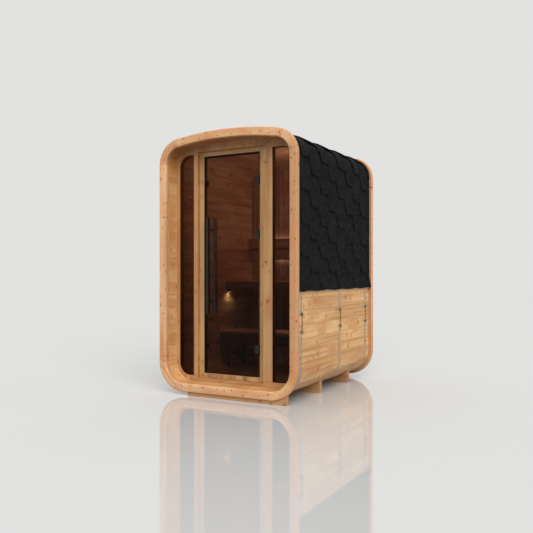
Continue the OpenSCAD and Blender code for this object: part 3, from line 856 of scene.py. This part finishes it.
def starter_strip(shape, mirrored):
    """The wavy sheet under the lowest row, which shows between its tabs."""
    base = wall_at(SHINGLE_LOW)

    def height(t, y):
        return 0.0065 - 0.02 * (t - base) + stand_off(t, y)

    wave = []
    for y in spread(COVER_FRONT, COVER_BACK, 0.035):
        wave.append((y, base - 0.004 + 0.0032 * math.sin(y * 19) + random.uniform(-0.0012, 0.0012)))
    shingle_grid(shape, wave, mirrored, height, 0.006, base + 0.15, shingle_row(0))


def build_shingles():
    shape = Shape()
    rows = math.ceil((HALF - CROWN_GAP - wall_at(SHINGLE_LOW)) / EXPOSURE)
    for mirrored in (False, True):
        starter_strip(shape, mirrored)
        for row in range(rows):
            low, start = shingle_row(row)
            for k in range(-2, 6):
                shingle_tab(shape, low, start + PITCH * k, mirrored, shingle_row(row + 1))
    shape.piece("roof_shingle_tabs", SHINGLE, "shingles", angle=24,
                stands_for=["wall_shingles", "corner_shingles", "roof_shingles"])


def build_ridge():
    """Cap shingles over the crown, each lapped over the rear end of the one in front of it."""
    shape = Shape()
    step, half_width, thick = 0.195, 0.125, 0.004
    turns = spread(HALF - half_width, HALF + half_width, 0.025)
    bows = [0.003 * ((t - HALF) / half_width) ** 4 for t in turns]
    for k in range(9):
        start = COVER_FRONT + k * step
        end = min(start + step * 1.6, COVER_BACK)
        if end - start < 0.05:
            continue
        rings = []
        for y in spread(start, end, step):
            inset = OUTER - 0.0275 + 0.006 * (y - start) / step
            outer = [at(t, inset + bow, y) for t, bow in zip(turns, bows)]
            inner = [at(t, inset + bow + thick, y) for t, bow in zip(turns, bows)]
            rings.append(outer + inner[::-1])
        shape.loft(rings)
    shape.piece("ridge_caps", SHINGLE, "shingles", angle=24)


def build_drip_edge():
    """Thin pale strip that shows under the lowest shingles."""
    shape = Shape()
    base = wall_at(SHINGLE_LOW)
    for mirrored in (False, True):
        rings = []
        for y in spread(COVER_FRONT, COVER_BACK, 0.05):
            low = base - 0.0080 + 0.0012 * math.sin(y * 9)
            corners = [(low, 0.0005), (low, 0.0100), (base + 0.004, 0.0105), (base + 0.004, 0.0005)]
            rings.append([at(2 * HALF - t if mirrored else t, OUTER - h, y) for t, h in corners])
        shape.loft(rings)
    shape.piece("drip_edges", DRIP_METAL, "band_steel")


# ---------------- bands
BAND_DEPTHS = (-0.7205, 0.061, 0.695)
LOOP_LOW_Z, LOOP_HIGH_Z = 0.580, 0.720
LOOP_WIDE, LOOP_OUT, LOOP_TALL, LOOP_BEND = 0.030, 0.020, 0.018, 0.0065
STRAP = 0.0018
THREAD = 0.0025


def rounded_loop(x, z, side, y, radius):
    """Outline of a folded strap end at one depth; x is the wall's face and z the middle of the loop."""
    far, up = LOOP_OUT - LOOP_BEND, LOOP_TALL / 2 - LOOP_BEND
    points = []
    for cx, cz, start in ((far, up, 0), (LOOP_BEND, up, 90), (LOOP_BEND, -up, 180), (far, -up, 270)):
        for k in range(5):
            angle = math.radians(start + 22.5 * k)
            out = x + cx + radius * math.cos(angle)
            points.append((side * out, y, z + cz + radius * math.sin(angle)))
    return points


def strap_loop(shape, x, z, side, y):
    """A strap end folded round its pin: a tube with a wall, open at both ends."""
    starts = []
    for depth in (y - LOOP_WIDE / 2, y + LOOP_WIDE / 2):
        for radius in (LOOP_BEND, LOOP_BEND - STRAP):
            loop = rounded_loop(x, z, side, depth, radius)
            starts.append(shape.add(loop))
    front_out, front_in, back_out, back_in = starts
    count = len(loop)
    for k in range(count):
        m = (k + 1) % count
        shape.faces.append((front_out + k, front_out + m, back_out + m, back_out + k))
        shape.faces.append((front_in + k, back_in + k, back_in + m, front_in + m))
        shape.faces.append((front_out + k, front_in + k, front_in + m, front_out + m))
        shape.faces.append((back_out + k, back_out + m, back_in + m, back_in + k))


def threaded_rod(shape, x, y, bottom, length):
    """A rod with a ridge for each turn of its thread."""
    thread = [(0, 0.0030)]
    for k in range(int(length / THREAD)):
        thread += [(0.0005 + k * THREAD, 0.0035), (0.0017 + k * THREAD, 0.0029)]
    thread.append((length, 0.0030))
    shape.turned((x, y, bottom), (0, 0, 1), thread, 12)


def tensioner(light, dark, y, side):
    """Two folded strap ends round a pin each, drawn together by a threaded rod with a washer and a nut."""
    wall = HALF_WIDTH - OUTER + 0.0016
    x = side * (wall + LOOP_OUT / 2)
    pin = [(0, 0.0045), (0.001, 0.0058), (LOOP_WIDE - 0.003, 0.0058), (LOOP_WIDE - 0.002, 0.0045)]
    for z in (LOOP_LOW_Z, LOOP_HIGH_Z):
        strap_loop(light, wall, z, side, y)
        dark.turned((x, y - LOOP_WIDE / 2 + 0.001, z), (0, 1, 0), pin, 18)
    under = LOOP_LOW_Z - LOOP_TALL / 2
    threaded_rod(dark, x, y, under - 0.008, LOOP_HIGH_Z - LOOP_LOW_Z + LOOP_TALL + 0.016)
    washer = [(0, 0.0078), (0.0002, 0.0082), (0.0014, 0.0082), (0.0016, 0.0078)]
    nut = [(0, 0.0066), (0.0008, 0.0075), (0.0052, 0.0075), (0.006, 0.0066)]
    light.turned((x, y, under - 0.0017), (0, 0, 1), washer, 24)
    dark.turned((x, y, under - 0.0078), (0, 0, 1), nut, 6)


def build_tensioners():
    light, dark = Shape(), Shape()
    for y in BAND_DEPTHS:
        for side in (-1, 1):
            tensioner(light, dark, y, side)
    light.piece("tensioner_loops", BAND_STEEL, "band_steel", stands_for=["band_tensioners"], angle=30)
    dark.piece("tensioner_rods", ROD_STEEL, "band_steel", angle=30)


# ---------------- small fittings
HINGES = (0.408, 1.370, 1.827)
HINGE_HALF = 0.036
SCREW_SPACING = 0.021
SEAL_SIDE, SEAL_TOP, SEAL_FOOT = 0.019, 0.017, 0.009


def build_hinge_screws():
    """Two socket screws on each face of a glass clamp and on each fixed leaf."""
    low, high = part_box("door_glass")
    clamp_x = high.x - 0.017
    leaf_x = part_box("hinge_brackets")[1].x - 0.0035
    head = [(0.0, 0.0008), (0.0006, 0.0014), (0.0009, 0.0030), (0.0006, 0.0036), (-0.001, 0.0036)]
    moving, fixed = Shape(), Shape()
    for hinge in HINGES:
        for z in (hinge - SCREW_SPACING, hinge + SCREW_SPACING):
            moving.turned((clamp_x, low.y - 0.006, z), (0, -1, 0), head, 14)
            moving.turned((clamp_x, high.y + 0.006, z), (0, 1, 0), head, 14)
            fixed.turned((leaf_x, low.y + 0.018, z), (-1, 0, 0), head, 14)
    moving.piece("hinge_clamp_screws", BLACK_METAL, "black_metal", body="door")
    fixed.piece("hinge_leaf_screws", BLACK_METAL, "black_metal")


def build_door_seal():
    """Dark seal on the rebate behind the glass, left, above, below and between the hinges; its dark brown
    is partly painted shade in the rebate.
    """
    glass_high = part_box("door_glass")[1]
    left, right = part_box("door_head")[0].x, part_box("door_head")[1].x
    top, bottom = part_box("door_head")[0].z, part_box("door_threshold")[1].z
    near, far = glass_high.y + 0.0006, glass_high.y + 0.0056
    side, upper, lower = left + SEAL_SIDE, top - SEAL_TOP, bottom + SEAL_FOOT
    shape = Shape()
    shape.block((left, near, bottom), (side, far, top))
    shape.block((side, near, upper), (right, far, top))
    shape.block((side, near, bottom), (right, far, lower))
    stops = [lower]
    for z in HINGES:
        stops += [z - HINGE_HALF, z + HINGE_HALF]
    stops.append(upper)
    for low, high in zip(stops[::2], stops[1::2]):
        shape.block((glass_high.x - 0.004, near, low), (right, far, high))
    shape.piece("door_seal", SEAL_RUBBER_AND_SHADE, "black_metal", bevel=0.001)


def build_lamp():
    """Small turned downlight under the end of the bench fascia, and its domed lens."""
    low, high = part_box("bench_lamp")
    centre = (low + high) / 2
    radius = (high.x - low.x) / 2
    tall = high.z - low.z
    housing = [(0, 0.72), (0.0006, 0.86), (0.002, 0.95)]
    housing += [(tall * 0.7, 0.95), (tall * 0.78, 0.88), (tall * 0.8, 0.6), (tall, 0.58)]
    dome = [(0, 0.3), (0.0015, 0.6), (0.006, 0.78), (0.009, 0.78)]
    shade, lens = Shape(), Shape()
    for shape, bottom, profile in ((shade, low.z, housing), (lens, low.z - 0.006, dome)):
        outline = [(z, radius * share) for z, share in profile]
        shape.turned((centre.x, centre.y, bottom), (0, 0, 1), outline, 32)
    shade.piece("lamp_housing", BLACK_METAL, "black_metal", stands_for=["bench_lamp"])
    lens.piece("lamp_glass", LENS, "lamp_lens")


# The nodes that stay: their material, how far their edges are rounded, and from which angle
FINISHES = [
    (("front_head", "front_rims"), FRONT_UPRIGHT, 0.0012, 50),
    (("front_sill",), SILL_WOOD, 0.0012, 50),
    (("door_posts",), FRONT_UPRIGHT, 0.003, 50),
    (("door_jambs",), FRAME_UPRIGHT, 0.003, 50),
    (("door_head",), FRAME_LEVEL, 0.003, 50),
    (("door_threshold",), THRESHOLD_WOOD, 0.003, 50),
    (("support_beams",), BEAM_WOOD, 0.003, 60),
    (("upper_bench", "upper_bench_fascia", "backrest"), BENCH_LEVEL, 0.004, 50),
    (("upper_bench_cleats",), BENCH_LEVEL, 0.003, 50),
    (("lower_bench",), LOW_BENCH_WOOD, 0.004, 50),
    (("lower_bench_legs",), LEG_WOOD, 0.003, 60),
    (("door_glass",), GLASS, 0.0008, 50),
    (("side_windows",), GLASS, 0, 0),
    (("outside_handle",), BLACK_METAL, 0.002, 50),
    (("inside_handle",), GREY_METAL, 0.002, 50),
    (("hinge_brackets", "hinge_clamps", "door_catches"), BLACK_METAL, 0.0008, 50),
    (("steel_bands",), BAND_STEEL, 0, 0),
]


def dress_nodes():
    for nodes, material, bevel, angle in FINISHES:
        for node in nodes:
            dress(node, material, bevel, angle)


# ---------------- stage, light and camera
LAMP_WARM = (1.0, 0.90, 0.72)
CABIN_WARM = (1.0, 0.86, 0.80)
STRIP_WARM = (1.0, 0.86, 0.76)
STRIP_SIZE = (1.1, 0.02)
FLOOR_GAIN = 1.008
CAMERA_PLACE = (2.977, -5.480, 1.059)
CAMERA_TURN = 29.105
CAMERA_LENS = 44.895
CAMERA_SHIFT = 0.00955


def new_lamp(name, kind, energy, colour=(1, 1, 1)):
    lamp = bpy.data.lights.new(name, kind)
    lamp.energy = energy
    lamp.color = colour
    return lamp


def hang(lamp, away):
    """Adds a lamp that shines against the direction away, and that no mirror shows."""
    obj = new_object(lamp.name, lamp)
    obj.rotation_euler = Vector(away).to_track_quat("Z", "Y").to_euler()
    obj.visible_glossy = False
    return obj


def sun(name, direction, strength, spread_angle):
    """Adds a broad sun and returns how brightly it lights a level white surface."""
    lamp = new_lamp(name, "SUN", strength)
    lamp.angle = math.radians(spread_angle)
    hang(lamp, direction)
    return strength * Vector(direction).normalized().z / math.pi


def light_outside():
    """Adds both suns and returns how brightly a level white surface is lit outside."""
    key = sun("key_sun", (0.60, -0.72, 0.68), 2.65, 55)
    fill = sun("fill_sun", (-0.35, 0.40, 1.1), 0.34, 60)
    return SKY + key + fill


def place_light(lamp, location, away):
    """Adds a lamp in the cabin, which doesn't show through the glass."""
    obj = hang(lamp, away)
    obj.location = location
    obj.visible_transmission = False


def strip_light(name, location, away, size, energy, spread_angle=180):
    lamp = new_lamp(name, "AREA", energy, STRIP_WARM)
    lamp.shape = "RECTANGLE"
    lamp.size, lamp.size_y = size
    lamp.spread = math.radians(spread_angle)
    place_light(lamp, location, away)


def light_cabin():
    """Daylight in the cabin, the lamp's fan on the wall, and weak strips at the bench and the backrest."""
    daylight = new_lamp("cabin_light", "POINT", 5.0, CABIN_WARM)
    daylight.shadow_soft_size = 0.14
    place_light(daylight, (0.20, 0.02, 1.88), (0, 0, 1))

    low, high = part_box("bench_lamp")
    glow = new_lamp("bench_glow", "SPOT", 0.8, LAMP_WARM)
    glow.spot_size = math.radians(150)
    glow.spot_blend = 1.0
    glow.shadow_soft_size = 0.006
    place_light(glow, (high.x, (low.y + high.y) / 2, low.z - 0.008), (0.3, 0, 1))

    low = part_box("upper_bench_fascia")[0]
    strip_light("bench_light", (0.2, low.y + 0.02, low.z - 0.01), (0, -0.25, 1), (0.8, 0.03), 0.3, 70)

    low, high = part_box("backrest")
    behind = high.y - 0.022
    strip_light("backrest_glow_up", (0, behind, high.z - 0.01), (0, 0, -1), STRIP_SIZE, 0.5)
    strip_light("backrest_glow_down", (0, behind, low.z + 0.01), (0, 0, 1), STRIP_SIZE, 0.4)


def build_world():
    """Light from all round, and a pale background that the camera, mirrors and glass see."""
    tree = Tree("studio", bpy.data.worlds, "OutputWorld")
    bpy.context.scene.world = tree.owner
    path = tree.put("LightPath").outputs
    seen = path["Is Camera Ray"]
    for kind in ("Is Glossy Ray", "Is Transmission Ray"):
        seen = tree.maths("MAXIMUM", seen, path[kind])
    light = tree.put("Background", {0: (SKY, SKY, SKY, 1)})
    backdrop = tree.put("Background", {0: (BACKGROUND, BACKGROUND, BACKGROUND * 0.985, 1)})
    tree.show(tree.blend(seen, light, backdrop))


def floor_material(level):
    """Pale polished floor, faintly clouded; light that bounces off it to the object is dull and weak."""
    tree = Tree("studio_floor")
    cloud = tree.product(tree.noise(tree.place(), 0.7, 1.0), 0.01)
    pale = (level, level, level * 0.985, 1.0)
    grey = (level * 0.99, level * 0.99, level * 0.975, 1.0)
    polished = tree.principled(Base_Color=tree.mix(cloud, pale, grey), Roughness=0.01, IOR=2.02)
    dull = tree.put("BsdfDiffuse", {"Color": (FLOOR_BOUNCE, FLOOR_BOUNCE, FLOOR_BOUNCE, 1.0)})
    bounced = tree.put("LightPath").outputs["Is Diffuse Ray"]
    tree.show(tree.blend(bounced, polished, dull))
    return tree.owner


def build_floor(light):
    """A floor as bright as the background where nothing shades it; light is how brightly it is lit."""
    size = 60.0
    corners = [(-size, -size, 0), (size, -size, 0), (size, size, 0), (-size, size, 0)]
    mesh = bpy.data.meshes.new("studio_floor")
    mesh.from_pydata(corners, [], [(0, 1, 2, 3)])
    mesh.materials.append(floor_material(BACKGROUND / light * FLOOR_GAIN))
    floor = new_object("studio_floor", mesh)
    floor.location.z = -0.0005


def build_camera():
    lens = bpy.data.cameras.new("camera")
    lens.sensor_width = 36
    lens.lens = CAMERA_LENS
    lens.shift_y = CAMERA_SHIFT
    camera = new_object("camera", lens)
    camera.location = CAMERA_PLACE
    camera.rotation_euler = (math.radians(90), 0, math.radians(CAMERA_TURN))
    bpy.context.scene.camera = camera


build_camera()
build_shell()
build_back_wall()
build_rings()
build_ring_screws()
build_shingles()
build_ridge()
build_drip_edge()
build_tensioners()
build_hinge_screws()
build_door_seal()
build_lamp()
dress_nodes()
build_floor(light_outside())
light_cabin()
build_world()
bpy.context.scene.view_settings.view_transform = "Standard"
